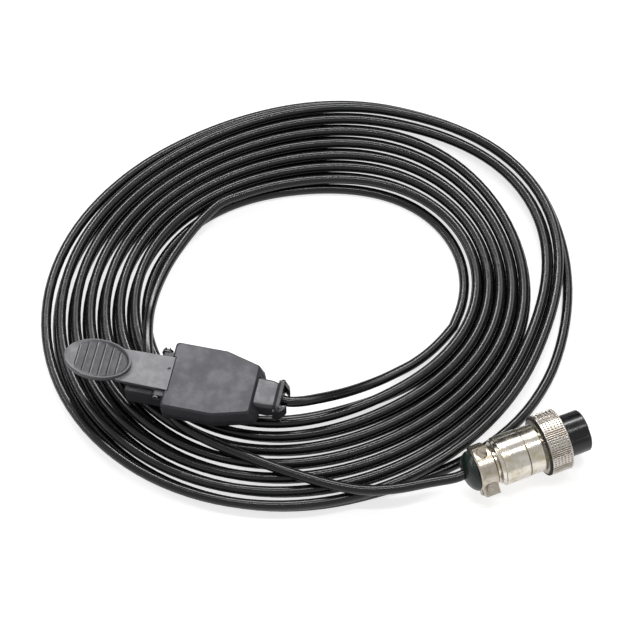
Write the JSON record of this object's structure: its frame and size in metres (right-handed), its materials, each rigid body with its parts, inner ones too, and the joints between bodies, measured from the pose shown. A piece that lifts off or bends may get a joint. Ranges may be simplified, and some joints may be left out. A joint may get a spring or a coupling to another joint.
{
  "type": "torch hand switch",
  "caption": "Hand switch for a TIG torch: sprung thumb lever over a snap switch in a small grey housing, with a long thin black cord in a coil and a metal screw plug.",
  "frame": {"origin": "middle of the switch's box, without its cord and plug", "axes": "+X from the thumb pad to the cord, +Z out of the housing's top face"},
  "size_m": [0.1928, 0.1692, 0.0234],
  "materials": {
    "housing_grey": "moulded, fine matt texture",
    "lever_grey": "moulded, satin",
    "pad_grey": "moulded, ridged",
    "collar_grey": "moulded, matt",
    "pin_steel": "ground",
    "clip_grey": "phosphated",
    "spring_steel": "drawn wire",
    "case_black": "moulded",
    "lid_grey": "moulded",
    "plunger_white": "moulded",
    "contact_brass": "rolled strip",
    "core_red": "core insulation",
    "cord_black": "smooth jacket",
    "clamp_black": "moulded",
    "screw_steel": "zinc plated",
    "seal_green": "soft moulding",
    "plug_nickel": "dull nickel plate",
    "screw_black": "blackened",
    "insert_black": "moulded",
    "contact_gold": "flash plated"
  },
  "bodies": {
    "root": {"housing_cover": "housing_grey", "housing_base": "housing_grey", "hinge_pin": "pin_steel", "pin_washer": "clip_grey", "pin_clip": "clip_grey", "return_spring": "spring_steel", "snap_case": "case_black", "snap_lid": "lid_grey", "snap_terminals": "contact_brass", "core_wires": "core_red", "inner_cable": "cord_black", "clamp_bar": "clamp_black", "clamp_bar_screws": "screw_steel", "housing_screws": "screw_steel", "cable_boot": "housing_grey", "claw_collar": "collar_grey", "cable_lead": "cord_black", "cable_coil": "cord_black", "cable_tail": "cord_black", "cable_seal": "seal_green", "clamp_near": "plug_nickel", "clamp_far": "plug_nickel", "clamp_screws": "plug_nickel", "plug_cable": "cord_black", "plug_cores": "core_red", "barrel": "plug_nickel", "barrel_screw": "screw_black", "contact_insert": "insert_black", "socket_contacts": "contact_gold", "retaining_ring": "spring_steel"},
    "lever": {"lever": "lever_grey", "thumb_pad": "pad_grey"},
    "plunger": {"plunger": "plunger_white"},
    "contact_blade": {"contact_blade": "contact_brass"},
    "coupling_ring": {"coupling_ring": "plug_nickel"}
  },
  "joints": [
    {"name": "lever_press", "type": "hinge", "parent": "root", "child": "lever", "pos_m": [-0.0049, 0, 0.002], "axis": [0, -1, 0], "range_deg": [0, 5], "stiffness_Nm_per_rad": 0.3, "springref_deg": -5.73, "deforming": ["return_spring"]},
    {"name": "plunger_slide", "type": "slide", "parent": "root", "child": "plunger", "axis": [0, 0, -1], "range_m": [0, 0.0006]},
    {"name": "blade_tilt", "type": "hinge", "parent": "root", "child": "contact_blade", "pos_m": [-0.0114, -0.0049, -0.0007], "axis": [-1, 0, 0], "range_deg": [0, 5.5]},
    {"name": "ring_turn", "type": "hinge", "parent": "root", "child": "coupling_ring", "pos_m": [0.0982, -0.011, -0.00711], "axis": [0.83, 0.5577, 0], "continuous": true}
  ],
  "couplings": [
    {"joint": "plunger_slide", "follows": "lever_press", "m_per_rad": 0.0068},
    {"joint": "blade_tilt", "follows": "lever_press", "ratio": 1.05}
  ]
}
